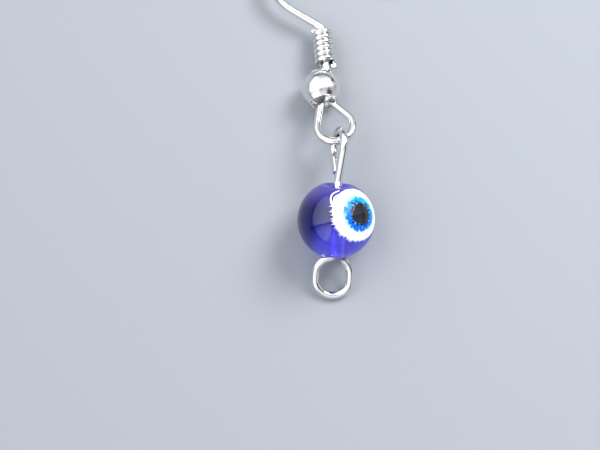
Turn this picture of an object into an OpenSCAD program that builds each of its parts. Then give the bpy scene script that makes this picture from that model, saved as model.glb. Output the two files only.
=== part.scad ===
// A drop earring lying on a flat surface, in millimetres.
// The surface is the plane z = 0, and the earring runs along Y, with its hook towards +Y.
// A round glass bead with a printed eye sits on a pin that has a loop at each end.
// The pin's upper loop hangs in the loop of the ear wire, under a hollow ball and a wound coil.

/* [Wire] */
// Diameter of the ear wire and of the bead pin
wire_d = 0.85; // [0.75:0.05:0.9]
// Gap between two pieces that touch on the real earring
seat_gap = 0.06; // [0.03:0.01:0.12]

/* [Glass bead] */
// Diameter of the bead
bead_d = 8; // [7.5:0.25:8.5]
// Diameter of the hole through the bead
bead_bore_d = 1.4; // [1.2:0.1:1.8]
// Width of the dimple at each end of the hole
dimple_d = 3.4; // [3:0.1:3.6]
// Depth of the dimple below the bead's round surface
dimple_depth = 0.7; // [0.5:0.05:0.9]

/* [Printed eye] */
// Height of the white disc, along the pin
white_d = 5.4; // [4.6:0.1:5.6]
// Height of the blue iris
iris_d = 3.6; // [3:0.1:4]
// Height of the black pupil
pupil_d = 2.1; // [1.4:0.1:2.4]
// Width of the printed eye across the pin, as a share of its height
eye_width = 1.06; // [1:0.01:1.1]
// Thickness of the print
print_t = 0.1; // [0.06:0.02:0.2]
// Height of the middle of the eye above the horizon, in degrees
eye_rise = 53; // [46:1:62]
// Direction of the eye round the bead, in degrees from +X
eye_turn = 4; // [-8:1:5]

/* [Bead pin] */
// Slope of the pin inside the bead, in degrees
pin_rise = 20; // [17:1:22]
// Turn of the pin away from the Y axis, in degrees
pin_yaw = 3; // [0:1:6]
// Distance from the bead's surface at its hole to the neck of the upper loop
neck_out = 0.05; // [0:0.05:0.4]
// Distance from the floor of the dimple to the neck of the lower loop
neck_in = 0.15; // [0.15:0.05:0.5]
// Radius of the bend at a loop's neck
neck_bend_r = 0.6; // [0.5:0.05:0.7]
// Radius of the lower loop
lower_loop_r = 1.8; // [1.7:0.05:2]
// Bend of the wire at the lower loop's neck, in degrees
lower_spread = 70; // [64:1:72]
// Straight length of the lower loop's sides
lower_side = 0.7; // [0.5:0.05:0.9]
// Radius of the upper loop
upper_loop_r = 1.67; // [1.64:0.01:1.74]
// Angle between the upper loop's flank and its middle line, in degrees
upper_spread = 27.5; // [27:0.5:29]
// Lean of the upper loop away from upright, in degrees
upper_lean = 16.5; // [14.5:0.5:18.5]
// Droop of the upper loop below the line of the pin, in degrees
upper_droop = 22; // [18:1:26]
// Turn of that droop to the left, in degrees
upper_sway = 3; // [0:1:6]
// Radius of the bend that makes a loop droop
droop_bend_r = 1; // [0.8:0.1:1.4]

/* [Ear loop] */
// Radius of the loop under the ball
ear_loop_r = 1.88; // [1.84:0.01:1.92]
// Angle between the loop's flank and its middle line, in degrees
ear_spread = 25.5; // [24.5:0.5:26.5]
// Lean of the loop's middle line away from the Y axis, in degrees
ear_lean = 18.6; // [16.6:0.2:20]
// Place of the ear loop in the upper loop, in degrees below that loop's middle line
link_angle = 25; // [21:1:29]
// Distance that the ear loop has slid sideways in the upper loop
link_slide = 0.29; // [0.23:0.02:0.33]

/* [Hollow ball] */
// Diameter of the ball
ball_d = 4.3; // [4:0.1:4.5]
// Wall of the ball
ball_wall = 0.3; // [0.2:0.05:0.4]
// Diameter of the ball's two holes
ball_hole_d = 2.8; // [2.7:0.1:3]
// Distance that the ball has slid sideways on the wire
ball_slide = 0.15; // [0:0.05:0.2]
// Distance that the ball has slid up the wire from the neck of the loop
ball_up = 0.62; // [0.52:0.05:0.72]
// Height of the wire above the ball's middle
wire_lift = 0.15; // [0:0.05:0.2]
// Share of the ball's tilt that follows the loop and not the stem
ball_follow = 0.65; // [0.55:0.05:0.75]

/* [Coil] */
// Diameter of the coil's own wire
coil_wire_d = 0.58; // [0.5:0.04:0.66]
// Number of turns
coil_turns = 6.5; // [4.5:1:7.5]
// Gap between two turns of the coil
turn_gap = 0.02; // [0.01:0.01:0.08]
// Gap between the ear wire and the inside of the coil
coil_clearance = 0.14; // [0.1:0.02:0.2]
// Gap along the wire between the ball and the coil's cut end
coil_gap = 0.05; // [0.05:0.05:0.5]
// Length of the coil's cut end below its lowest turn
coil_tail = 0.7; // [0.5:0.1:0.8]
// Radius of the bend into the coil's cut end
tail_bend_r = 0.35; // [0.32:0.01:0.4]

/* [Ear hook] */
// Turn of the wire at the ball away from the Y axis, in degrees
stem_yaw = 8; // [5:1:10]
// Bend of the wire under the coil, in degrees
coil_bend = 14; // [8:1:16]
// Radius of the bend under the coil
stem_bend_r = 1.1; // [0.9:0.1:1.6]
// Radius of the bend over the coil
throat_bend_r = 0.55; // [0.5:0.05:0.8]
// Bend of the wire over the coil, in degrees
throat_bend = 54; // [48:1:60]
// Straight length between the coil and the hook
throat_run = 3.4; // [2.8:0.1:4]
// Radius of the hook
hook_r = 5.5; // [5:0.1:6]
// Angle that the hook turns through, in degrees
hook_bend = 206; // [200:1:212]
// Length of the straight leg that goes through the ear
leg_run = 6.5; // [5:0.5:8]

/* [Hidden] */
$fn = 48;
wire_r = wire_d / 2;
bead_r = bead_d / 2;
ball_r = ball_d / 2;
// The round joint between two runs of wire stands a little proud of them
joint_r = wire_r * 1.02;
// Each run stops this far before its end, inside the joint
joint_gap = wire_r * 0.05;
// Sides of the coil's wire, and rings in one of its turns
coil_sides = 12;
coil_rings = 20;
// Angle between two rings in the bend of the coil's cut end, in degrees
tail_step = 22.5;
// The lower loop's free end stops this far before the neck, in degrees
end_short = 5;
// A tool that cuts a hole runs this far past the surface
cut_past = 1;
// Gap round and under the printed eye
print_gap = 0.02;
// Step along a bend when its points are measured, in degrees
sample_turn = 4;
silver = [0.78, 0.79, 0.8];
cobalt = [0.07, 0.08, 0.5];

// Transformation matrices
no_move = [[1, 0, 0, 0], [0, 1, 0, 0], [0, 0, 1, 0], [0, 0, 0, 1]];
function move(v) = [[1, 0, 0, v[0]], [0, 1, 0, v[1]], [0, 0, 1, v[2]], [0, 0, 0, 1]];
function about_x(a) = [[1, 0, 0, 0], [0, cos(a), -sin(a), 0], [0, sin(a), cos(a), 0], [0, 0, 0, 1]];
function about_y(a) = [[cos(a), 0, sin(a), 0], [0, 1, 0, 0], [-sin(a), 0, cos(a), 0], [0, 0, 0, 1]];
function about_z(a) = [[cos(a), -sin(a), 0, 0], [sin(a), cos(a), 0, 0], [0, 0, 1, 0], [0, 0, 0, 1]];
function frame_at(p, x, z) = let(y = cross(z, x))
    [[x[0], y[0], z[0], p[0]], [x[1], y[1], z[1], p[1]], [x[2], y[2], z[2], p[2]], [0, 0, 0, 1]];
function place(m, p = [0, 0, 0]) = let(q = m * [p[0], p[1], p[2], 1]) [q[0], q[1], q[2]];
function unit(v) = v / norm(v);

// A bent wire is a start frame, whose Z runs along the wire, and a list of steps.
// A step is a straight run, then a roll about the wire, then a bend towards the local X axis.
RUN = 0;
ROLL = 1;
RADIUS = 2;
TURN = 3;
function bend_frame(radius, turn) = move([radius, 0, 0]) * about_y(turn) * move([-radius, 0, 0]);
function bend_start(s) = move([0, 0, s[RUN]]) * about_z(s[ROLL]);
function step_end(s) = bend_start(s) * bend_frame(s[RADIUS], s[TURN]);
function walk(start, steps, i = 0) = i == len(steps)
    ? [start]
    : concat([start], walk(start * step_end(steps[i]), steps, i + 1));
function walk_end(start, steps) = let(frames = walk(start, steps)) frames[len(steps)];
function walk_points(start, steps) = let(frames = walk(start, steps)) [
    for (i = [0:len(steps) - 1]) let(s = steps[i], m = frames[i] * bend_start(s))
        for (a = [0:sample_turn:s[TURN]]) place(m * bend_frame(s[RADIUS], a)),
    place(frames[len(steps)])
];

// A teardrop loop: two flanks that meet at the neck, and an arc between them
function flank(radius, spread) = radius / tan(spread);
function loop_length(radius, spread) = radius * (1 + 1 / sin(spread));
// The wire's free end stops clear of the other flank
function end_stop(spread) = (joint_r + wire_r + seat_gap) / sin(2 * spread);

// The bead pin, as two halves that start in the middle of the bead
droop_at = bead_r - dimple_depth;
neck_at = bead_r + neck_out;
lower_drop = bead_r - wire_r - droop_at * sin(pin_rise);
// The lower loop is an oval, whose shoulders turn the flanks into its sides
oval_flank = (lower_loop_r - (neck_bend_r + lower_loop_r) * (1 - cos(lower_spread))) / sin(lower_spread);
oval_length = (neck_bend_r + lower_loop_r) * sin(lower_spread) + oval_flank * cos(lower_spread)
    + lower_side + lower_loop_r;
lower_droop = asin(lower_drop / (neck_in + oval_length)) - pin_rise;
lower_nip = droop_bend_r * tan(lower_droop / 2);
upper_nip = droop_bend_r * tan(upper_droop / 2);
neck_nip = neck_bend_r * tan(upper_spread / 2);
upper_steps = [
    [droop_at - upper_nip, 90 + upper_sway, droop_bend_r, upper_droop],
    [neck_at - droop_at - upper_nip - neck_nip, 180 + upper_lean - upper_sway, neck_bend_r, upper_spread],
    [flank(upper_loop_r, upper_spread) - neck_nip, 180, upper_loop_r, 180 + 2 * upper_spread],
    [flank(upper_loop_r, upper_spread) - end_stop(upper_spread), 0, 0, 0]
];
lower_steps = [
    [droop_at - lower_nip, -90, droop_bend_r, lower_droop],
    [neck_in - lower_nip, -90, neck_bend_r, lower_spread],
    [oval_flank, 180, lower_loop_r, lower_spread],
    [lower_side, 0, lower_loop_r, 180],
    [lower_side, 0, lower_loop_r, lower_spread - end_short]
];
pin_up = move([0, 0, bead_r]) * about_z(-pin_yaw) * about_x(pin_rise - 90);
pin_down = pin_up * about_x(180);

// The end of the ear loop lies inside the arc of the pin's upper loop
upper_neck = walk(pin_up, upper_steps)[1]
    * move([0, 0, neck_at - droop_at - upper_nip])
    * about_z(180 + upper_lean - upper_sway);
link_reach = upper_loop_r - wire_d - seat_gap;
link_point = place(upper_neck, [
    -link_reach * sin(link_angle), 0,
    upper_loop_r / sin(upper_spread) + link_reach * cos(link_angle)
]);

// The ear loop rises from the middle of the ball, which lies on the surface
ball_wire_z = ball_r + wire_lift;
ear_length = loop_length(ear_loop_r, ear_spread);
ear_rise = asin((link_point[2] - ball_wire_z) / ear_length);
ear_dir = [sin(ear_lean) * cos(ear_rise), -cos(ear_lean) * cos(ear_rise), sin(ear_rise)];
ear_side = [cos(ear_lean), sin(ear_lean), 0];
kink = link_point - ear_length * ear_dir + link_slide * ear_side;
ear_start = frame_at(
    kink,
    cos(ear_spread) * ear_side + sin(ear_spread) * ear_dir,
    cos(ear_spread) * ear_dir - sin(ear_spread) * ear_side
);
ear_steps = [
    [flank(ear_loop_r, ear_spread), 0, ear_loop_r, 180 + 2 * ear_spread],
    [flank(ear_loop_r, ear_spread) - end_stop(ear_spread), 0, 0, 0]
];

// The hook lies in one plane, which slopes from the ball down to the leg on the surface
coil_pitch = coil_wire_d + turn_gap;
coil_length = coil_turns * coil_pitch + coil_wire_d;
// The bend over the coil starts inside it, as far as the coil's clearance lets it
throat_in = sqrt(throat_bend_r * coil_clearance);
bend_run = stem_bend_r * coil_bend * PI / 180;
stem_run = ball_up + ball_r + coil_gap + coil_tail - coil_wire_d / 2 - seat_gap - bend_run;
hook_steps = [
    [stem_run, 180, stem_bend_r, coil_bend],
    [coil_length + 2 * seat_gap - throat_in, 0, throat_bend_r, throat_bend],
    [throat_run, 180, hook_r, hook_bend],
    [leg_run, 0, 0, 0]
];
flat_end = walk_end(no_move, hook_steps);
leg_slope = flat_end[2][2] / flat_end[0][2];
along_fall = (ball_wire_z - joint_r) / (flat_end[2][3] - flat_end[0][3] * leg_slope);
side_fall = -leg_slope * along_fall;
hook_pitch = asin(along_fall);
hook_roll = asin(side_fall / cos(hook_pitch));
hook_start = move(kink) * about_z(-stem_yaw) * about_x(-hook_pitch) * about_y(hook_roll) * about_x(-90);
hook_frames = walk(hook_start, hook_steps);

// The ball hangs loose on the wire, and its holes let both runs of the loop in
stem_dir = place(hook_start, [0, 0, 1]) - kink;
ball_axis = unit(ball_follow * ear_dir - (1 - ball_follow) * stem_dir);
ball_centre = [kink[0] + ball_up * stem_dir[0] - ball_slide, kink[1] + ball_up * stem_dir[1], ball_r];

// The middle of the whole earring's box goes to the origin
reach_points = concat(
    walk_points(hook_start, hook_steps),
    walk_points(ear_start, ear_steps),
    walk_points(pin_down, lower_steps)
);
low_x = min(-bead_r, min([for (p = reach_points) p[0]]) - wire_r);
high_x = max(bead_r, max([for (p = reach_points) p[0]]) + wire_r);
low_y = min([for (p = reach_points) p[1]]) - wire_r;
high_y = max([for (p = reach_points) p[1]]) + wire_r;
middle = [(low_x + high_x) / 2, (low_y + high_y) / 2, 0];

module joint() {
    sphere(r = joint_r);
}

module wire_bend(radius, turn) {
    trim = joint_gap / radius * 180 / PI;
    translate([radius, 0, 0])
        rotate([90, 0, 180])
            rotate([0, 0, trim])
                rotate_extrude(angle = turn - 2 * trim)
                    translate([radius, 0])
                        circle(r = wire_r);
}

module wire_step(s) {
    if (s[RUN] > 2 * joint_gap)
        translate([0, 0, joint_gap])
            cylinder(r = wire_r, h = s[RUN] - 2 * joint_gap);
    multmatrix(bend_start(s)) {
        joint();
        if (s[TURN] > 0)
            wire_bend(s[RADIUS], s[TURN]);
    }
}

module bent_wire(start, steps) {
    frames = walk(start, steps);
    for (i = [0:len(steps) - 1])
        multmatrix(frames[i]) {
            joint();
            wire_step(steps[i]);
        }
}

module along(from, axis) {
    translate(from)
        rotate([0, acos(axis[2]), atan2(axis[1], axis[0])])
            children();
}

module ear_wire() {
    color(silver)
        translate(-middle) {
            bent_wire(hook_start, hook_steps);
            bent_wire(ear_start, ear_steps);
        }
}

// The coil's middle line, from its cut end upwards, as rows of angle and place
coil_r = wire_r + coil_clearance + coil_wire_d / 2;
coil_line = concat(
    [[180, [-coil_r, tail_bend_r, -coil_tail]]],
    [for (a = [0:tail_step:90 - tail_step]) [180, [-coil_r, tail_bend_r * cos(a), tail_bend_r * (sin(a) - 1)]]],
    [for (i = [0:coil_turns * coil_rings]) let(a = 180 + i * 360 / coil_rings)
        [a, [coil_r * cos(a), coil_r * sin(a), coil_pitch * i / coil_rings]]]
);
function coil_ring(i) = let(
    last = len(coil_line) - 1,
    tangent = unit(coil_line[min(i + 1, last)][1] - coil_line[max(i - 1, 0)][1]),
    out = [cos(coil_line[i][0]), sin(coil_line[i][0]), 0],
    out_flat = unit(out - (out * tangent) * tangent),
    side = cross(tangent, out_flat)
) [for (j = [0:coil_sides - 1]) let(a = j * 360 / coil_sides)
    coil_line[i][1] + coil_wire_d / 2 * (cos(a) * out_flat + sin(a) * side)];

module tube(rings) {
    n = len(rings[0]);
    polyhedron(
        points = [for (ring = rings) for (p = ring) p],
        faces = concat(
            [[for (j = [0:n - 1]) j]],
            [for (i = [0:len(rings) - 2]) for (j = [0:n - 1])
                [i * n + j, (i + 1) * n + j, (i + 1) * n + (j + 1) % n, i * n + (j + 1) % n]],
            [[for (j = [n - 1:-1:0]) (len(rings) - 1) * n + j]]
        )
    );
}

module coil() {
    color(silver)
        translate(-middle)
            multmatrix(hook_frames[1] * move([0, 0, seat_gap + coil_wire_d / 2]))
                tube([for (i = [0:len(coil_line) - 1]) coil_ring(i)]);
}

module hollow_ball() {
    color(silver)
        translate(-middle)
            along(ball_centre, ball_axis)
                difference() {
                    sphere(r = ball_r);
                    sphere(r = ball_r - ball_wall);
                    cylinder(d = ball_hole_d, h = ball_d + 2 * cut_past, center = true);
                }
}

module bead_pin() {
    color(silver)
        translate(-middle) {
            bent_wire(pin_up, upper_steps);
            bent_wire(pin_down, lower_steps);
        }
}

// A layer of the round surface of the bead, from one depth to another
module bead_layer(inner_r, outer_r) {
    difference() {
        sphere(r = outer_r);
        sphere(r = inner_r);
    }
}

module facing_eye() {
    translate([0, 0, bead_r])
        rotate([0, 90 - eye_rise, eye_turn])
            children();
}

module eye_disc(height, length) {
    linear_extrude(length)
        scale([eye_width, 1])
            circle(d = height);
}

module print_ring(inner_d, outer_d) {
    translate(-middle)
        facing_eye()
            intersection() {
                bead_layer(bead_r - print_t, bead_r);
                difference() {
                    eye_disc(outer_d, bead_d);
                    if (inner_d > 0)
                        translate([0, 0, -cut_past])
                            eye_disc(inner_d, bead_d + 2 * cut_past);
                }
            }
}

module dimple() {
    rim_z = sqrt(bead_r * bead_r - dimple_d * dimple_d / 4);
    floor_z = bead_r - dimple_depth;
    widen = (dimple_d - bead_bore_d) / 2 / (rim_z - floor_z);
    translate([0, 0, floor_z])
        cylinder(
            r1 = bead_bore_d / 2,
            r2 = bead_bore_d / 2 + widen * (rim_z - floor_z + cut_past),
            h = rim_z - floor_z + cut_past
        );
}

module glass_bead() {
    color(cobalt)
        translate(-middle)
            difference() {
                translate([0, 0, bead_r])
                    sphere(r = bead_r);
                multmatrix(pin_up) {
                    cylinder(d = bead_bore_d, h = bead_d + 2 * cut_past, center = true);
                    dimple();
                    rotate([180, 0, 0])
                        dimple();
                }
                facing_eye()
                    intersection() {
                        bead_layer(bead_r - print_t - print_gap, bead_r + cut_past);
                        eye_disc(white_d + 2 * print_gap, bead_d);
                    }
            }
}

module eye_white() {
    color("white")
        print_ring(iris_d + 2 * print_gap, white_d);
}

module eye_iris() {
    color([0.1, 0.6, 0.9])
        print_ring(pupil_d + 2 * print_gap, iris_d);
}

module eye_pupil() {
    color([0.02, 0.02, 0.02])
        print_ring(0, pupil_d);
}

ear_wire();
coil();
hollow_ball();
bead_pin();
glass_bead();
eye_white();
eye_iris();
eye_pupil();
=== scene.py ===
import math
import random

import bmesh
import bpy
from mathutils import Matrix, Vector


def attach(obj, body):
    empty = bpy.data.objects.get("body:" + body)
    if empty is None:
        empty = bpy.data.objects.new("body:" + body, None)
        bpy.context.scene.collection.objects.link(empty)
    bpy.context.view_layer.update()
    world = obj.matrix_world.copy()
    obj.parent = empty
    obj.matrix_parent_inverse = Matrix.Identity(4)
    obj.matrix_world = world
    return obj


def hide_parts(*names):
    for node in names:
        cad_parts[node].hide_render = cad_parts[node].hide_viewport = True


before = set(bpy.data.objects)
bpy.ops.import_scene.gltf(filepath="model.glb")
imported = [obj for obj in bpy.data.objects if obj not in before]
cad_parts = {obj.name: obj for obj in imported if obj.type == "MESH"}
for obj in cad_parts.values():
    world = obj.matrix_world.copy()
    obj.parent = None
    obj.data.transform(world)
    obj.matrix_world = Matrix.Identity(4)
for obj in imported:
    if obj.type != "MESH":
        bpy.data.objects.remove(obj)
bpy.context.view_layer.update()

# Metres in a millimetre
MM = 0.001
SEED = 7
rng = random.Random(SEED)

# Sizes in mm and angles in degrees, as part.scad has them
WIRE_R = 0.425
JOINT_R = WIRE_R * 1.02  # where two stretches of a wire meet
SEAT_GAP = 0.06  # between two pieces that touch on the real earring

# The bead, with a dimple at each end of its bore
BEAD_R = 4.0
BORE_R = 0.7
DIMPLE_R = 1.7
DIMPLE_DEPTH = 0.7

# The printed eye, and the height and the direction of its middle on the bead
WHITE_R = 2.7
IRIS_R = 1.8
PUPIL_R = 1.05
EYE_WIDTH = 1.06  # across the pin, as a share of the eye's height
EYE_RISE = 53
EYE_TURN = 4

# The pin
PIN_RISE = 20
PIN_YAW = 3
NECK_OUT = 0.05  # from the bead's surface to the upper loop's neck
NECK_IN = 0.15  # from the dimple's floor to the lower loop's neck
NECK_BEND_R = 0.6
DROOP_R = 1.0  # of the bend that makes a loop droop

# The pin's lower loop
LOWER_R = 1.8
LOWER_SPREAD = 70  # the wire's bend at the neck
LOWER_SIDE = 0.7
END_SHORT = 5  # left out of the last bend, so that the wire ends clear of the neck

# The pin's upper loop
UPPER_R = 1.67
UPPER_SPREAD = 27.5  # between the loop's flank and its middle line
UPPER_LEAN = 16.5
UPPER_DROOP = 22  # below the line of the pin
UPPER_SWAY = 3  # of that droop, to the left

# The ear loop, and its place in the upper loop
EAR_R = 1.88
EAR_SPREAD = 25.5  # between the loop's flank and its middle line
EAR_LEAN = 18.6
LINK_ANGLE = 25  # below the upper loop's middle line
LINK_SLIDE = 0.29

# The ball
BALL_R = 2.15
BALL_WALL = 0.3
BALL_HOLE_R = 1.4
BALL_SLIDE = 0.15  # sideways on the wire
BALL_UP = 0.62  # up the wire, from the neck of the ear loop
BALL_FOLLOW = 0.65  # share of the ball's tilt that follows the ear loop and not the stem
WIRE_LIFT = 0.15  # of the wire above the ball's middle

# The coil
COIL_WIRE_R = 0.29
COIL_TURNS = 6.5
TURN_GAP = 0.02
COIL_CLEARANCE = 0.14  # round the ear wire
COIL_GAP = 0.05  # between the ball and the coil's cut end
COIL_TAIL = 0.7  # length of the cut end below the lowest turn
TAIL_R = 0.35  # of the bend into the cut end

# The stem, the throat over the coil, and the hook with its leg
STEM_YAW = 8
STEM_R = 1.1
COIL_BEND = 14  # of the wire under the coil
THROAT_R = 0.55
THROAT_BEND = 54
THROAT_RUN = 3.4
HOOK_R = 5.5
HOOK_BEND = 206
LEG_RUN = 6.5

# How finely a wire's middle line is drawn
DEGREES_PER_POINT = 4
LEAST_STEP = 0.02

# The photograph in pixels: its size, the bead's middle, and its scale at the bead
PHOTO_SIZE = (600, 450)
BEAD_PX = (336, 220)
PX_PER_MM = 9.75

# The camera's height angle, and its distance from the bead
TILT = 81.5
DISTANCE = 105


# Angles are in degrees, as in the CAD source
def sin(a):
    return math.sin(math.radians(a))


def cos(a):
    return math.cos(math.radians(a))


def tan(a):
    return math.tan(math.radians(a))


def asin(v):
    return math.degrees(math.asin(v))


def acos(v):
    return math.degrees(math.acos(v))


# Frames
def move(x, y, z):
    return Matrix.Translation((x, y, z))


def turn(axis, a):
    return Matrix.Rotation(math.radians(a), 4, axis)


def frame_at(p, x, z):
    """A frame at p, with its X and Z axes given."""
    m = Matrix((x, z.cross(x), z)).transposed().to_4x4()
    m.translation = p
    return m


def along_z(m):
    return (m.to_3x3() @ Vector((0, 0, 1))).normalized()


# Bent wires
def bend(radius, a):
    return move(radius, 0, 0) @ turn("Y", a) @ move(-radius, 0, 0)


def walk(start, steps):
    """Follows a bent wire, where each step is (straight run, roll, bend radius, bend angle).

    Returns the frame after each step, and the points of the wire's middle line.
    """
    frames = [start]
    points = [start.translation.copy()]
    for run, roll, radius, angle in steps:
        at = frames[-1] @ move(0, 0, run) @ turn("Z", roll)
        points.append(at.translation.copy())
        if angle:
            n = max(2, math.ceil(angle / DEGREES_PER_POINT))
            points += [(at @ bend(radius, angle * i / n)).translation for i in range(1, n + 1)]
            at = at @ bend(radius, angle)
        frames.append(at)
    spaced = points[:1]
    for p in points[1:]:
        if (p - spaced[-1]).length > LEAST_STEP:
            spaced.append(p)
    return frames, spaced


def flank(radius, spread):
    """The length of a drop-shaped loop's straight side."""
    return radius / tan(spread)


def end_stop(spread):
    """How far before the neck a loop's wire ends, so that it stays clear of the neck."""
    return (JOINT_R + WIRE_R + SEAT_GAP) / sin(2 * spread)


# The pin: it leaves the bead at both ends, droops, and ends in a loop on each side
droop_at = BEAD_R - DIMPLE_DEPTH
neck_at = BEAD_R + NECK_OUT
oval_flank = (LOWER_R - (NECK_BEND_R + LOWER_R) * (1 - cos(LOWER_SPREAD))) / sin(LOWER_SPREAD)
oval_length = ((NECK_BEND_R + LOWER_R) * sin(LOWER_SPREAD) + oval_flank * cos(LOWER_SPREAD)
               + LOWER_SIDE + LOWER_R)
lower_droop = asin((BEAD_R - WIRE_R - droop_at * sin(PIN_RISE)) / (NECK_IN + oval_length)) - PIN_RISE
lower_nip = DROOP_R * tan(lower_droop / 2)
upper_nip = DROOP_R * tan(UPPER_DROOP / 2)
neck_nip = NECK_BEND_R * tan(UPPER_SPREAD / 2)
neck_roll = 180 + UPPER_LEAN - UPPER_SWAY
upper_steps = [
    (droop_at - upper_nip, 90 + UPPER_SWAY, DROOP_R, UPPER_DROOP),
    (neck_at - droop_at - upper_nip - neck_nip, neck_roll, NECK_BEND_R, UPPER_SPREAD),
    (flank(UPPER_R, UPPER_SPREAD) - neck_nip, 180, UPPER_R, 180 + 2 * UPPER_SPREAD),
    (flank(UPPER_R, UPPER_SPREAD) - end_stop(UPPER_SPREAD), 0, 0, 0),
]
lower_steps = [
    (droop_at - lower_nip, -90, DROOP_R, lower_droop),
    (NECK_IN - lower_nip, -90, NECK_BEND_R, LOWER_SPREAD),
    (oval_flank, 180, LOWER_R, LOWER_SPREAD),
    (LOWER_SIDE, 0, LOWER_R, 180),
    (LOWER_SIDE, 0, LOWER_R, LOWER_SPREAD - END_SHORT),
]
pin_turn = turn("Z", -PIN_YAW) @ turn("X", PIN_RISE - 90)
pin_up = move(0, 0, BEAD_R) @ pin_turn
pin_down = pin_up @ turn("X", 180)
upper_frames, upper_points = walk(pin_up, upper_steps)
lower_points = walk(pin_down, lower_steps)[1]

# The ear loop hangs in the upper loop at the link. Its wire and the stem both start at the kink
upper_neck = upper_frames[1] @ move(0, 0, neck_at - droop_at - upper_nip) @ turn("Z", neck_roll)
link_reach = UPPER_R - 2 * WIRE_R - SEAT_GAP
link_height = UPPER_R / sin(UPPER_SPREAD) + link_reach * cos(LINK_ANGLE)
link_point = upper_neck @ Vector((-link_reach * sin(LINK_ANGLE), 0, link_height))
ball_wire_z = BALL_R + WIRE_LIFT
ear_length = EAR_R * (1 + 1 / sin(EAR_SPREAD))
ear_rise = asin((link_point.z - ball_wire_z) / ear_length)
ear_dir = Vector((sin(EAR_LEAN) * cos(ear_rise), -cos(EAR_LEAN) * cos(ear_rise), sin(ear_rise)))
ear_side = Vector((cos(EAR_LEAN), sin(EAR_LEAN), 0))
kink = link_point - ear_length * ear_dir + LINK_SLIDE * ear_side
ear_start = frame_at(kink, cos(EAR_SPREAD) * ear_side + sin(EAR_SPREAD) * ear_dir,
                     cos(EAR_SPREAD) * ear_dir - sin(EAR_SPREAD) * ear_side)
ear_steps = [
    (flank(EAR_R, EAR_SPREAD), 0, EAR_R, 180 + 2 * EAR_SPREAD),
    (flank(EAR_R, EAR_SPREAD) - end_stop(EAR_SPREAD), 0, 0, 0),
]
ear_points = walk(ear_start, ear_steps)[1]

# The stem and the hook, pitched and rolled so that the leg is level and rests on the floor
coil_pitch = 2 * COIL_WIRE_R + TURN_GAP
coil_length = COIL_TURNS * coil_pitch + 2 * COIL_WIRE_R
throat_in = math.sqrt(THROAT_R * COIL_CLEARANCE)
stem_run = (BALL_UP + BALL_R + COIL_GAP + COIL_TAIL - COIL_WIRE_R - SEAT_GAP
            - STEM_R * math.radians(COIL_BEND))
hook_steps = [
    (stem_run, 180, STEM_R, COIL_BEND),
    (coil_length + 2 * SEAT_GAP - throat_in, 0, THROAT_R, THROAT_BEND),
    (THROAT_RUN, 180, HOOK_R, HOOK_BEND),
    (LEG_RUN, 0, 0, 0),
]
flat_end = walk(Matrix.Identity(4), hook_steps)[0][-1]
leg_slope = flat_end[2][2] / flat_end[0][2]
along_fall = (ball_wire_z - JOINT_R) / (flat_end[2][3] - flat_end[0][3] * leg_slope)
hook_pitch = asin(along_fall)
hook_roll = asin(-leg_slope * along_fall / cos(hook_pitch))
hook_start = (move(*kink) @ turn("Z", -STEM_YAW) @ turn("X", -hook_pitch) @ turn("Y", hook_roll)
              @ turn("X", -90))
hook_frames, hook_points = walk(hook_start, hook_steps)

# The ball rests on the floor, on the wire between the ear loop and the stem
stem_dir = along_z(hook_start)
ball_axis = (BALL_FOLLOW * ear_dir - (1 - BALL_FOLLOW) * stem_dir).normalized()
ball_centre = Vector((kink.x + BALL_UP * stem_dir.x - BALL_SLIDE, kink.y + BALL_UP * stem_dir.y, BALL_R))

# The middle of the whole earring's box is at the origin, as in the CAD source
reach = hook_points + ear_points + lower_points
low_x = min(-BEAD_R, min(p.x for p in reach) - WIRE_R)
high_x = max(BEAD_R, max(p.x for p in reach) + WIRE_R)
low_y = min(p.y for p in reach) - WIRE_R
high_y = max(p.y for p in reach) + WIRE_R
middle = Vector((-(low_x + high_x) / 2, -(low_y + high_y) / 2, 0))


def mm(p):
    """A point of the part, in the shared frame and in metres."""
    return (Vector(p) + middle) * MM


bead_centre = Vector((0, 0, BEAD_R))
bead_frame = Matrix.Translation(mm(bead_centre)) @ pin_turn
eye_frame = Matrix.Translation(mm(bead_centre)) @ turn("Z", EYE_TURN) @ turn("Y", 90 - EYE_RISE)

# The camera's axes
right = Vector((1, 0, 0))
up = Vector((0, sin(TILT), cos(TILT)))
back = Vector((0, -cos(TILT), sin(TILT)))


# Meshes
def add_mesh(name, verts, faces, matrix=None):
    """A smooth object with all its faces turned outwards."""
    mesh = bpy.data.meshes.new(name)
    mesh.from_pydata([tuple(v) for v in verts], [], faces)
    mesh.validate()
    bm = bmesh.new()
    bm.from_mesh(mesh)
    bmesh.ops.recalc_face_normals(bm, faces=bm.faces)
    bm.to_mesh(mesh)
    bm.free()
    for f in mesh.polygons:
        f.use_smooth = True
    if matrix is not None:
        mesh.transform(matrix)
    obj = bpy.data.objects.new(name, mesh)
    bpy.context.scene.collection.objects.link(obj)
    return obj


def circle(n):
    """The cosine and the sine of n even steps round a full turn."""
    steps = [2 * math.pi * j / n for j in range(n)]
    return [(math.cos(a), math.sin(a)) for a in steps]


def arc(cx, cy, r, a0, a1, steps):
    """The points of an arc about (cx, cy), from angle a0 to a1."""
    angles = [a0 + (a1 - a0) * i / steps for i in range(steps + 1)]
    return [(cx + r * cos(a), cy + r * sin(a)) for a in angles]


def rounded_end(ring, centre, inward, radius, share):
    """The rings of a rounded rim, from the full ring to the cut face.

    The round is a share of the wire's radius, and inward points back into the wire.
    """
    rings = []
    for a in (0, 30, 60, 90):
        depth = share * radius * (1 - sin(a))
        shrink = 1 - share * (1 - cos(a))
        rings.append([centre + (v - centre) * shrink + inward * depth for v in ring])
    return rings


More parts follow.
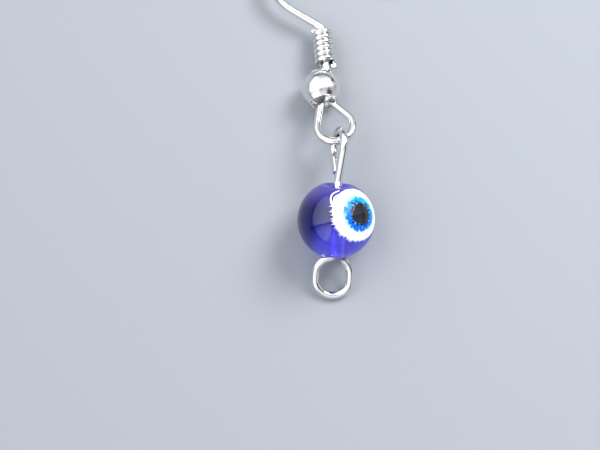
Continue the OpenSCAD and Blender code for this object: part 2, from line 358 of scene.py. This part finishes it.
def rings_along(points, radius, sides, end_round):
    """The rings of a round wire along its middle line, with both cut ends rounded."""
    last = len(points) - 1
    ahead = [(points[min(i + 1, last)] - points[max(i - 1, 0)]).normalized() for i in range(last + 1)]
    side = ahead[0].orthogonal().normalized()
    rings = []
    for p, t in zip(points, ahead):
        side = (side - side.dot(t) * t).normalized()
        other = t.cross(side)
        rings.append([p + radius * (c * side + s * other) for c, s in circle(sides)])
    start = rounded_end(rings[0], points[0], ahead[0], radius, end_round)
    end = rounded_end(rings[-1], points[-1], -ahead[-1], radius, end_round)
    return start[::-1] + rings[1:-1] + end


def sweep(name, points, radius, sides=28, end_round=0.3):
    """A round wire along its middle line."""
    rings = rings_along(points, radius, sides, end_round)
    verts = [mm(v) for ring in rings for v in ring]
    faces = []
    for i in range(len(rings) - 1):
        for j in range(sides):
            k = (j + 1) % sides
            faces.append((i * sides + j, i * sides + k, (i + 1) * sides + k, (i + 1) * sides + j))
    last = (len(rings) - 1) * sides
    faces.append(tuple(range(sides)))
    faces.append(tuple(last + j for j in range(sides)))
    return add_mesh(name, verts, faces)


def lathe(name, profile, matrix, sides):
    """A closed profile of (radius, height) spun about the local Z axis."""
    n = len(profile)
    verts = [Vector((r * c, r * s, h)) * MM for c, s in circle(sides) for r, h in profile]
    faces = []
    for j in range(sides):
        k = (j + 1) % sides
        for i in range(n):
            m = (i + 1) % n
            faces.append((j * n + i, k * n + i, k * n + m, j * n + m))
    return add_mesh(name, verts, faces, matrix)


# Node trees. The first four numbers are the places of the mix node's sockets for colours
MIX_FACTOR = 0
MIX_FIRST = 6
MIX_SECOND = 7
MIX_RESULT = 2
BUMP_DEPTH = 0.02 * MM


class Graph:
    """A node tree, with a short call for each kind of node. An input is a socket or a constant."""

    def __init__(self, tree):
        self.nodes = tree.nodes
        self.links = tree.links

    def feed(self, socket, value):
        if isinstance(value, bpy.types.NodeSocket):
            self.links.new(value, socket)
        else:
            socket.default_value = value

    def add(self, kind, inputs, **settings):
        """A node of a kind, with its settings and then its inputs, by name or by number."""
        node = self.nodes.new(kind)
        for key, value in settings.items():
            setattr(node, key, value)
        for key, value in inputs.items():
            self.feed(node.inputs[key], value)
        return node

    def coords(self, output):
        return self.nodes.new("ShaderNodeTexCoord").outputs[output]

    def local(self, piece_frame):
        """Object coordinates, turned into a piece's own frame."""
        inputs = {
            "Vector": self.coords("Object"),
            "Location": piece_frame.translation,
            "Rotation": piece_frame.to_euler("XYZ"),
        }
        return self.add("ShaderNodeMapping", inputs, vector_type="TEXTURE").outputs["Vector"]

    def split(self, vector):
        return self.add("ShaderNodeSeparateXYZ", {"Vector": vector}).outputs

    def join(self, x, y):
        return self.add("ShaderNodeCombineXYZ", {"X": x, "Y": y}).outputs["Vector"]

    def noise(self, vector, scale, detail, roughness=0.5):
        inputs = {"Vector": vector, "Scale": scale, "Detail": detail, "Roughness": roughness}
        return self.add("ShaderNodeTexNoise", inputs).outputs["Fac"]

    def remap(self, value, source, target=(0, 1), smooth=False):
        """Maps the span source to the span target, and holds the value at both ends."""
        inputs = {
            "Value": value,
            "From Min": source[0],
            "From Max": source[1],
            "To Min": target[0],
            "To Max": target[1],
        }
        kind = "SMOOTHSTEP" if smooth else "LINEAR"
        return self.add("ShaderNodeMapRange", inputs, interpolation_type=kind).outputs["Result"]

    def calc(self, operation, *values):
        node = self.add("ShaderNodeMath", dict(enumerate(values)), operation=operation)
        return node.outputs["Value"]

    def vector(self, operation, *values):
        node = self.add("ShaderNodeVectorMath", dict(enumerate(values)), operation=operation)
        return node.outputs["Vector"]

    def dot(self, vector, direction):
        node = self.add("ShaderNodeVectorMath", {0: vector, 1: direction}, operation="DOT_PRODUCT")
        return node.outputs["Value"]

    def length(self, vector):
        return self.add("ShaderNodeVectorMath", {0: vector}, operation="LENGTH").outputs["Value"]

    def scale(self, vector, factor):
        inputs = {0: vector, "Scale": factor}
        return self.add("ShaderNodeVectorMath", inputs, operation="SCALE").outputs["Vector"]

    def ramp(self, value, *stops):
        """A colour ramp, where each stop is (position, colour)."""
        node = self.add("ShaderNodeValToRGB", {"Fac": value})
        marks = node.color_ramp.elements
        while len(marks) < len(stops):
            marks.new(0.5)
        for mark, (position, colour) in zip(marks, stops):
            mark.position = position
            mark.color = (*colour, 1)
        return node.outputs["Color"]

    def mix(self, factor, first, second, blend="MIX"):
        """Two colours mixed, where a factor of 1 gives the second one its full share."""
        inputs = {MIX_FACTOR: factor, MIX_FIRST: first, MIX_SECOND: second}
        node = self.add("ShaderNodeMix", inputs, data_type="RGBA", blend_type=blend)
        return node.outputs[MIX_RESULT]

    def bump(self, height, strength, distance=BUMP_DEPTH):
        inputs = {"Height": height, "Strength": strength, "Distance": distance}
        return self.add("ShaderNodeBump", inputs).outputs["Normal"]


def material(name, recipe, **settings):
    """A material whose shader takes the inputs that its recipe returns."""
    mat = bpy.data.materials.new(name)
    mat.use_nodes = True
    graph = Graph(mat.node_tree)
    shader = graph.nodes["Principled BSDF"]
    for key, value in recipe(graph, **settings).items():
        graph.feed(shader.inputs[key], value)
    return mat


# Materials. Noise scales are per metre
def silver(graph, scale, rough, bump):
    """Polished metal, with faint clouds in its colour and its surface, and a finely uneven polish."""
    at = graph.coords("Object")
    cloud = graph.noise(at, scale=scale * 0.2, detail=4, roughness=0.6)
    fine = graph.noise(at, scale=scale, detail=3)
    return {
        "Metallic": 1.0,
        "Base Color": graph.ramp(cloud, (0.3, (0.70, 0.69, 0.67)), (0.6, (0.79, 0.79, 0.78))),
        "Roughness": graph.remap(fine, (0.35, 0.7), rough),
        "Normal": graph.bump(cloud, bump),
    }


def cobalt_glass(graph):
    """Clear cobalt glass, with painted shade and light across it, a painted lilac highlight at its upper
    end and a painted glow at its lower end. Z runs up along the bore.
    """
    at = graph.local(bead_frame)
    axes = graph.split(at)
    streak = graph.noise(at, scale=260, detail=3)
    # Painted shade and painted light: the glass is deepest at its left side and lightest to the right of
    # its middle, varied by streaks
    across = graph.remap(axes["X"], (-3.6 * MM, 2.4 * MM))
    streak_share = 0.25
    wander = graph.calc("MULTIPLY_ADD", streak, streak_share, across)
    side = graph.ramp(wander, (0.12, (0.004, 0.004, 0.09)), (0.45, (0.025, 0.02, 0.40)),
                      (0.72, (0.06, 0.045, 0.62)), (1.0, (0.025, 0.02, 0.40)))
    # A painted lilac highlight lights the upper end
    top = graph.remap(axes["Z"], (1.2 * MM, 3.4 * MM), smooth=True)
    lilac_highlight = graph.mix(top, side, (0.20, 0.16, 0.36, 1), "ADD")
    # A painted glow lights the lower end, but for its left side
    down = graph.remap(axes["Z"], (1.4 * MM, -2.0 * MM), smooth=True)
    inside = graph.remap(axes["X"], (-2.8 * MM, -1.4 * MM), smooth=True)
    painted_glow = graph.calc("MULTIPLY", down, inside)
    tint = graph.mix(painted_glow, lilac_highlight, (0.15, 0.14, 0.95, 1), "ADD")
    # The glass is made slightly hazy in the lower and the upper zone, so that the painted glow and the
    # painted lilac highlight show in its colour
    full_clearness = 0.98
    haze_below = -0.20
    haze_above = -0.17
    clear = graph.calc("MULTIPLY_ADD", painted_glow, haze_below, full_clearness)
    clear = graph.calc("MULTIPLY_ADD", top, haze_above, clear)
    fine = graph.noise(at, scale=900, detail=2)
    return {
        "Base Color": tint,
        "Transmission Weight": clear,
        "Roughness": graph.remap(fine, (0, 1), (0, 0.03)),
        "IOR": 1.5,
        "Specular IOR Level": 0.5,
        "Coat Weight": 0.1,
        "Coat Roughness": 0.02,
        "Normal": graph.bump(streak, strength=0.04, distance=0.03 * MM),
    }


def ink(graph, dark, light, scale, rough, specular, coat, bump):
    """A printed colour: mottled between dark and light, with a slightly uneven surface."""
    grain = graph.noise(graph.coords("Object"), scale=scale, detail=4, roughness=0.6)
    return {
        "Base Color": graph.ramp(grain, (0.3, dark), (0.7, light)),
        "Roughness": rough,
        "Specular IOR Level": specular,
        "Coat Weight": coat,
        "Normal": graph.bump(grain, bump),
    }


def iris_ink(graph):
    """Azure ink, with a painted highlight that turns it a lighter cyan at the top, and with pale gaps and
    dark strokes along the radius.
    """
    at = graph.local(eye_frame)
    axes = graph.split(at)
    angle = graph.calc("ARCTAN2", axes["Y"], axes["X"])
    radius = graph.length(graph.join(axes["X"], axes["Y"]))
    # The strokes are noise that is stretched along the radius
    per_radian = 7.5
    per_metre = 2.6 / MM
    polar = graph.join(graph.calc("MULTIPLY", angle, per_radian), graph.calc("MULTIPLY", radius, per_metre))
    stroke = graph.noise(polar, scale=1, detail=2, roughness=0.6)
    # A painted highlight: from azure at the lower left to a lighter cyan at the top
    towards_cyan_highlight = (0.35, 0.94, 0)
    place = graph.remap(graph.dot(at, towards_cyan_highlight), (-1.2 * MM, 1.8 * MM))
    base = graph.ramp(place, (0.0, (0.0, 0.12, 0.70)), (0.45, (0.0, 0.20, 0.76)), (1.0, (0.01, 0.34, 0.62)))
    # The pale gaps show most at the ring's two edges
    ring_middle = 1.4 * MM
    from_middle = graph.calc("ABSOLUTE", graph.calc("SUBTRACT", radius, ring_middle))
    at_edges = graph.remap(from_middle, (0.1 * MM, 0.42 * MM), (-0.13, 0.05))
    pale = graph.remap(graph.calc("ADD", stroke, at_edges), (0.51, 0.60), smooth=True)
    gapped = graph.mix(pale, base, (0.26, 0.66, 0.86, 1))
    # The dark strokes are widest at the pupil
    at_pupil = graph.remap(radius, (PUPIL_R * MM, 1.70 * MM), (0.20, -0.06))
    depth = graph.calc("ADD", graph.calc("SUBTRACT", 1, stroke), at_pupil)
    dark = graph.remap(depth, (0.56, 0.66), smooth=True)
    return {
        "Base Color": graph.mix(dark, gapped, (0.0, 0.012, 0.07, 1)),
        "Roughness": 0.4,
        "Specular IOR Level": 0.2,
        "Coat Weight": 0.03,
        "Normal": graph.bump(stroke, strength=0.1),
    }


def plain(_, colour, rough):
    """One even colour, which needs no nodes of its own."""
    return {"Base Color": colour, "Roughness": rough}


wire_silver = material("silver_wire", silver, scale=2500, rough=(0.03, 0.14), bump=0.02)
ball_silver = material("silver_ball", silver, scale=1200, rough=(0.16, 0.30), bump=0.05)
glass = material("cobalt_glass", cobalt_glass)
# White print, also used for the two curls of painted highlight
white_ink_and_highlight = material("print_white", ink, dark=(0.90, 0.93, 0.97), light=(0.98, 0.99, 1.0), scale=1800,
                     rough=0.25, specular=0.5, coat=0.5, bump=0.08)
blue_ink = material("print_blue", iris_ink)
black_ink = material("print_black", ink, dark=(0.006, 0.006, 0.010), light=(0.02, 0.02, 0.028), scale=1500,
                     rough=0.12, specular=0.35, coat=0.15, bump=0.03)
floor_paint = material("floor", plain, colour=(0.26, 0.28, 0.31, 1), rough=0.9)


# The metal pieces and the glass
def ear_wire():
    """The ear loop from its end to the kink, then the stem, the throat, the hook and the leg."""
    return sweep("ear_wire_bent", ear_points[::-1] + hook_points[1:], WIRE_R, end_round=0.35)


def bead_pin():
    """The upper loop from its end to the bead, then the lower loop."""
    return sweep("bead_pin_looped", upper_points[::-1] + lower_points[1:], WIRE_R)


def coil():
    """The short cut end and its bend, then the turns."""
    steps_per_turn = 48
    degrees_per_bend_step = 10
    mid_r = WIRE_R + COIL_CLEARANCE + COIL_WIRE_R
    start = hook_frames[1] @ move(0, 0, SEAT_GAP + COIL_WIRE_R)
    path = [Vector((-mid_r, TAIL_R, -COIL_TAIL))]
    for a in range(0, 90, degrees_per_bend_step):
        path.append(Vector((-mid_r, TAIL_R * cos(a), TAIL_R * (sin(a) - 1))))
    for i in range(int(COIL_TURNS * steps_per_turn) + 1):
        a = 180 + i * 360 / steps_per_turn
        path.append(Vector((mid_r * cos(a), mid_r * sin(a), coil_pitch * i / steps_per_turn)))
    return sweep("coil_wound", [start @ p for p in path], COIL_WIRE_R, sides=20)


def hollow_ball():
    """A shell with rounded rims at its two holes. Its arcs stop a little short of the rims."""
    rim = 0.05
    rim_r = BALL_HOLE_R + rim
    inner_r = BALL_R - BALL_WALL
    outer_a = acos(BALL_HOLE_R / BALL_R)
    inner_a = acos(BALL_HOLE_R / inner_r)
    rim_h = BALL_R * sin(outer_a) - rim
    outer_stop = outer_a - 1.2
    inner_stop = inner_a - 1
    profile = arc(0, 0, BALL_R, -outer_stop, outer_stop, steps=60)
    profile += arc(rim_r, rim_h, rim, 60, 180, steps=6)
    profile += arc(0, 0, inner_r, inner_stop, -inner_stop, steps=40)
    profile += arc(rim_r, -rim_h, rim, 180, 300, steps=6)
    upright = Vector((0, 0, 1))
    across = (upright - upright.dot(ball_axis) * ball_axis).normalized()
    return lathe("ball_polished", profile, frame_at(mm(ball_centre), across, ball_axis), sides=112)


def glass_bead():
    """The bead, with its bore and a dimple at each end. Its round surface lies just under the print."""
    under_print = 0.012
    rim_z = math.sqrt(BEAD_R ** 2 - DIMPLE_R ** 2)
    rim_stop = asin(rim_z / BEAD_R) - 1
    # The radius and the height of the bore, of its soft mouth, and of the dimple up to its soft rim
    upper_half = [
        (BORE_R, 0.0),
        (BORE_R, droop_at - 0.15),
        (BORE_R + 0.03, droop_at - 0.04),
        (BORE_R + 0.12, droop_at + 0.03),
        (DIMPLE_R - 0.2, rim_z - 0.09),
        (DIMPLE_R - 0.07, rim_z - 0.02),
    ]
    outside = arc(0, 0, BEAD_R - under_print, rim_stop, -rim_stop, steps=96)
    lower_half = [(r, -h) for r, h in upper_half[:0:-1]]
    return lathe("bead_glass", upper_half + outside + lower_half, bead_frame, sides=144)


# The printed eye lies on the bead's round surface, in a frame whose Z leaves through the pupil. A lift is
# measured up from that surface. A depth is how far a piece of print reaches down at its edge
WHITE_DEPTH = 0.06
IRIS_LIFT = 0.008
IRIS_DEPTH = 0.01
PUPIL_LIFT = 0.014
PUPIL_DEPTH = 0.016
CURL_LIFT = 0.002
CURL_DEPTH = 0.03
CAP_CORE = 0.001  # share of a cap's width at which its innermost ring lies

# The uneven rims of the print. A tooth's height, skew and sinking are shares of its size
RIM_WAVES = 9
TOOTH_HEIGHTS = (0.1, 1.0)
TOOTH_SKEWS = (0.3, 0.7)
TOOTH_SUNK = 0.4
WHITE_OUT = 0.01
IRIS_OUT = 0.09
IRIS_UNDER_PUPIL = 0.12

# A painted highlight at the eye's edge, drawn as two thin white curls, in pixels of the photograph
CURL_OUTER_PX = [(338.5, 191.5), (335.4, 192.6), (331.6, 194.9), (329.8, 198.6), (330.0, 203.0),
                 (331.5, 206.4), (333.2, 208.6)]
CURL_INNER_PX = [(335.6, 196.0), (333.4, 198.0), (332.6, 200.6), (333.3, 203.0), (334.8, 202.4)]


def on_bead(rho, direction, r):
    """A point of an oval round the eye's axis, on a sphere of radius r."""
    x = EYE_WIDTH * rho * direction[0]
    y = rho * direction[1]
    return Vector((x, y, math.sqrt(r * r - x * x - y * y))) * MM


def print_cap(name, edge, r, depth, rings, hole=None):
    """A thin cap whose rim follows edge, a list of radii, with a skirt that goes down by depth."""
    n = len(edge)
    inner = hole or [0.0] * n
    directions = circle(n)
    verts = []
    for k in range(rings + 1):
        share = max(k / rings, CAP_CORE)
        for j in range(n):
            verts.append(on_bead(inner[j] + (edge[j] - inner[j]) * share, directions[j], r))
    verts += [on_bead(rho, direction, r - depth) for rho, direction in zip(edge, directions)]
    faces = []
    for k in range(rings + 1):
        for j in range(n):
            m = (j + 1) % n
            faces.append((k * n + j, (k + 1) * n + j, (k + 1) * n + m, k * n + m))
    if not hole:
        faces.append(tuple(range(n)))
    return add_mesh(name, verts, faces, eye_frame)


def smooth_noise(n, knots, amplitude):
    """A closed list of n values that wander smoothly between random knots."""
    levels = [rng.uniform(-amplitude, amplitude) for _ in range(knots)]
    values = []
    for i in range(n):
        place = i * knots / n
        knot = int(place)
        share = place - knot
        share = share * share * (3 - 2 * share)
        values.append(levels[knot] * (1 - share) + levels[(knot + 1) % knots] * share)
    return values


def jagged(radius, n, teeth, size, wander, weight=None):
    """A rim of n radii with small pointed teeth, which weight(angle) scales round the rim."""
    wave = smooth_noise(n, RIM_WAVES, wander)
    heights = [rng.uniform(*TOOTH_HEIGHTS) for _ in range(teeth)]
    skews = [rng.uniform(*TOOTH_SKEWS) for _ in range(teeth)]
    edge = []
    for i in range(n):
        place = i * teeth / n
        tooth = int(place)
        share = place - tooth
        skew = skews[tooth]
        rise = share / skew if share < skew else (1 - share) / (1 - skew)
        scale = weight(360 * i / n) if weight else 1.0
        edge.append(radius + wave[i] + size * scale * (heights[tooth] * rise - TOOTH_SUNK))
    return edge


def left_and_below(a):
    """A weight that is 1 at the lower left, and least on the other side."""
    lower_left = 215
    least = 0.35
    return least + (1 - least) * max(0.0, cos(a - lower_left)) ** 0.5


def eye_white():
    """The white disc, whose teeth are largest at its lower left."""
    edge = jagged(WHITE_R + WHITE_OUT, n=1320, teeth=92, size=0.36, wander=0.04, weight=left_and_below)
    return print_cap("eye_white_disc", edge, BEAD_R, WHITE_DEPTH, rings=20)


def eye_iris():
    """The blue ring, whose inner edge lies under the pupil."""
    outer = jagged(IRIS_R + IRIS_OUT, n=960, teeth=64, size=0.42, wander=0.04)
    inner = jagged(PUPIL_R - IRIS_UNDER_PUPIL, n=960, teeth=50, size=-0.05, wander=0.02)
    return print_cap("eye_iris_ring", outer, BEAD_R + IRIS_LIFT, IRIS_DEPTH, rings=10, hole=inner)


def eye_pupil():
    edge = jagged(PUPIL_R, n=480, teeth=46, size=0.12, wander=0.03)
    return print_cap("eye_pupil_disc", edge, BEAD_R + PUPIL_LIFT, PUPIL_DEPTH, rings=8)


def seen_at(x, y):
    """The direction from the bead's middle to the point of it that shows at a pixel of the photograph."""
    dx = (x - BEAD_PX[0]) / PX_PER_MM
    dy = (BEAD_PX[1] - y) / PX_PER_MM
    return (dx * right + dy * up + math.sqrt(BEAD_R ** 2 - dx * dx - dy * dy) * back).normalized()


def smooth_path(points, steps=8):
    """Directions along a smooth curve through the given ones."""
    last = len(points) - 1
    path = []
    for i in range(last):
        a = points[max(i - 1, 0)]
        b = points[i]
        c = points[i + 1]
        d = points[min(i + 2, last)]
        for k in range(steps):
            t = k / steps
            square = (2 * a - 5 * b + 4 * c - d) * t * t
            cube = (3 * b - a - 3 * c + d) * t ** 3
            path.append((0.5 * (2 * b + (c - a) * t + square + cube)).normalized())
    path.append(points[-1])
    return path


def curl(name, pixels, width):
    """A thin white line along the bead's surface, narrower at its ends and slightly uneven, which draws a
    painted highlight.
    """
    end_width = 0.35
    uneven = 0.25
    uneven_step = 1.7
    inside = BEAD_R - CURL_DEPTH
    outside = BEAD_R + CURL_LIFT
    path = smooth_path([seen_at(*pixel) for pixel in pixels])
    last = len(path) - 1
    verts = []
    for i, v in enumerate(path):
        ahead = (path[min(i + 1, last)] - path[max(i - 1, 0)]).normalized()
        side = v.cross(ahead).normalized()
        taper = end_width + (1 - end_width) * math.sin(math.pi * i / last) ** 0.5
        half = width / 2 * taper * (1 + uneven * math.sin(i * uneven_step))
        for off, r in ((-half, inside), (-half, outside), (half, outside), (half, inside)):
            verts.append((v * r + side * off).normalized() * r * MM)
    faces = []
    for i in range(last):
        for j in range(3):
            faces.append((i * 4 + j, i * 4 + j + 1, i * 4 + j + 5, i * 4 + j + 4))
    faces.append((0, 1, 2, 3))
    faces.append(tuple(4 * last + j for j in range(4)))
    return add_mesh(name, verts, faces, Matrix.Translation(mm(bead_centre)))


# The dressed part
def piece(obj, mat, slot, *replaced):
    """Puts an object on the part's one body, in place of the CAD nodes that it replaces."""
    obj.data.materials.append(mat)
    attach(obj, "root")
    if replaced:
        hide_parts(*replaced)


piece(ear_wire(), wire_silver, "silver_wire", "ear_wire")
piece(bead_pin(), wire_silver, "silver_wire", "bead_pin")
piece(coil(), wire_silver, "silver_wire", "coil")
piece(hollow_ball(), ball_silver, "silver_wire", "hollow_ball")
piece(glass_bead(), glass, "cobalt_glass", "glass_bead")
piece(eye_white(), white_ink_and_highlight, "print_white", "eye_white")
piece(eye_iris(), blue_ink, "print_blue", "eye_iris")
# The two white curls are a painted highlight
piece(curl("eye_highlight_curl_outer", CURL_OUTER_PX, width=0.15), white_ink_and_highlight, "print_white")
piece(curl("eye_highlight_curl_inner", CURL_INNER_PX, width=0.09), white_ink_and_highlight, "print_white")
piece(eye_pupil(), black_ink, "print_black", "eye_pupil")

# The stage, with its places and sizes in metres
FLOOR_SIZE = 3
KEY_PLACE = Vector((0.17, 0.15, 0.24))
KEY_SIZE = 0.16
KEY_POWER = 1.5
SKY_STRENGTH = 1.25

# The camera's sensor in mm, and the nearest and the farthest thing that it shows in metres
SENSOR_WIDTH = 36
NEAREST = 0.005
FARTHEST = 10

# The sky's zones: the directions that they are measured along, the window's stretch, and some tints
UPWARD = (0.13, -0.10, 1.0)
PATCH_RISE = 33
PATCH_TURN = -28
AWAY = (-0.249, 0.957, 0.143)
RIGHTWARD = (1.0, -0.15, 0.0)
WINDOW_DIR = (-0.85, 0.0, 0.53)
WINDOW_STRETCH = (1.0, 0.45, 1.0)
FULL = (1.0, 1.0, 1.0)
BAND_DARK = (0.12, 0.11, 0.10)
WALL = (0.55, 0.58, 0.63, 1)


def pale_floor():
    bpy.ops.mesh.primitive_plane_add(size=FLOOR_SIZE)
    floor = bpy.context.object
    floor.name = "floor"
    floor.data.materials.append(floor_paint)


def studio_sky():
    """Soft light from all round, with a few darker and brighter zones for metal and glass to reflect."""
    world = bpy.data.worlds.new("studio")
    world.use_nodes = True
    graph = Graph(world.node_tree)
    sky_dir = graph.coords("Generated")
    # The sky is brighter higher up, with a dark band low down that gives polished metal its contour
    height = graph.dot(sky_dir, UPWARD)
    sky = graph.ramp(height, (0.0, (0.16, 0.17, 0.20)), (0.10, (0.03, 0.035, 0.05)),
                     (0.17, (0.45, 0.47, 0.50)), (0.50, (0.72, 0.74, 0.77)), (0.80, FULL))
    # A small dark patch hangs at the right
    patch_dir = (cos(PATCH_RISE) * cos(PATCH_TURN), cos(PATCH_RISE) * sin(PATCH_TURN), sin(PATCH_RISE))
    patch = graph.ramp(graph.dot(sky_dir, patch_dir), (0.955, FULL), (0.972, (0.10, 0.10, 0.12)))
    # The near half is greyer, and ends in a dark line that slants across the view. The depth runs from 0 at
    # the near side to 1 at the far side
    depth = graph.calc("MULTIPLY_ADD", graph.dot(sky_dir, AWAY), 0.5, 0.5)
    grey = graph.ramp(depth, (0.15, (0.95, 0.95, 0.97)), (0.35, (0.75, 0.75, 0.78)),
                      (0.44, (0.45, 0.45, 0.48)), (0.485, (0.08, 0.08, 0.10)), (0.505, FULL))
    # A dark band stands at the right, so that upright wires get a dark line
    band = graph.ramp(graph.dot(sky_dir, RIGHTWARD), (0.50, FULL), (0.58, BAND_DARK), (0.70, BAND_DARK),
                      (0.80, FULL))
    for zone in (patch, grey, band):
        sky = graph.mix(1.0, sky, zone, "MULTIPLY")
    # The left side holds a tall, brighter window, which the bead shows as its pale veil
    tall = graph.vector("NORMALIZE", graph.vector("MULTIPLY", sky_dir, WINDOW_STRETCH))
    window = graph.remap(graph.dot(tall, WINDOW_DIR), (0.72, 0.77), (1.0, 2.7), smooth=True)
    lit = graph.scale(sky, window)
    # The camera itself sees a plain pale wall behind the floor
    seen = graph.nodes.new("ShaderNodeLightPath").outputs["Is Camera Ray"]
    background = graph.nodes["Background"]
    graph.feed(background.inputs["Color"], graph.mix(seen, lit, WALL))
    graph.feed(background.inputs["Strength"], SKY_STRENGTH)
    bpy.context.scene.world = world
    bpy.context.scene.view_settings.view_transform = "Standard"


def key_light():
    """A softbox above the part, to the right and on its far side, that points at it."""
    data = bpy.data.lights.new("key", "AREA")
    data.shape = "RECTANGLE"
    data.size = KEY_SIZE
    data.size_y = KEY_SIZE
    data.energy = KEY_POWER
    obj = bpy.data.objects.new("key", data)
    obj.location = KEY_PLACE
    obj.rotation_euler = (-KEY_PLACE).to_track_quat("-Z", "Y").to_euler()
    bpy.context.scene.collection.objects.link(obj)


def photo_camera():
    """The photograph's camera: its angle and its scale, with the bead at its place in the picture."""
    across = (BEAD_PX[0] - PHOTO_SIZE[0] / 2) / PX_PER_MM
    above = (PHOTO_SIZE[1] / 2 - BEAD_PX[1]) / PX_PER_MM
    place = bead_centre + middle + DISTANCE * back - across * right - above * up
    data = bpy.data.cameras.new("camera")
    data.sensor_width = SENSOR_WIDTH
    data.lens = PX_PER_MM * DISTANCE * SENSOR_WIDTH / PHOTO_SIZE[0]
    data.clip_start = NEAREST
    data.clip_end = FARTHEST
    obj = bpy.data.objects.new("camera", data)
    obj.matrix_world = frame_at(place * MM, right, back)
    bpy.context.scene.collection.objects.link(obj)
    bpy.context.scene.camera = obj


pale_floor()
studio_sky()
key_light()
photo_camera()
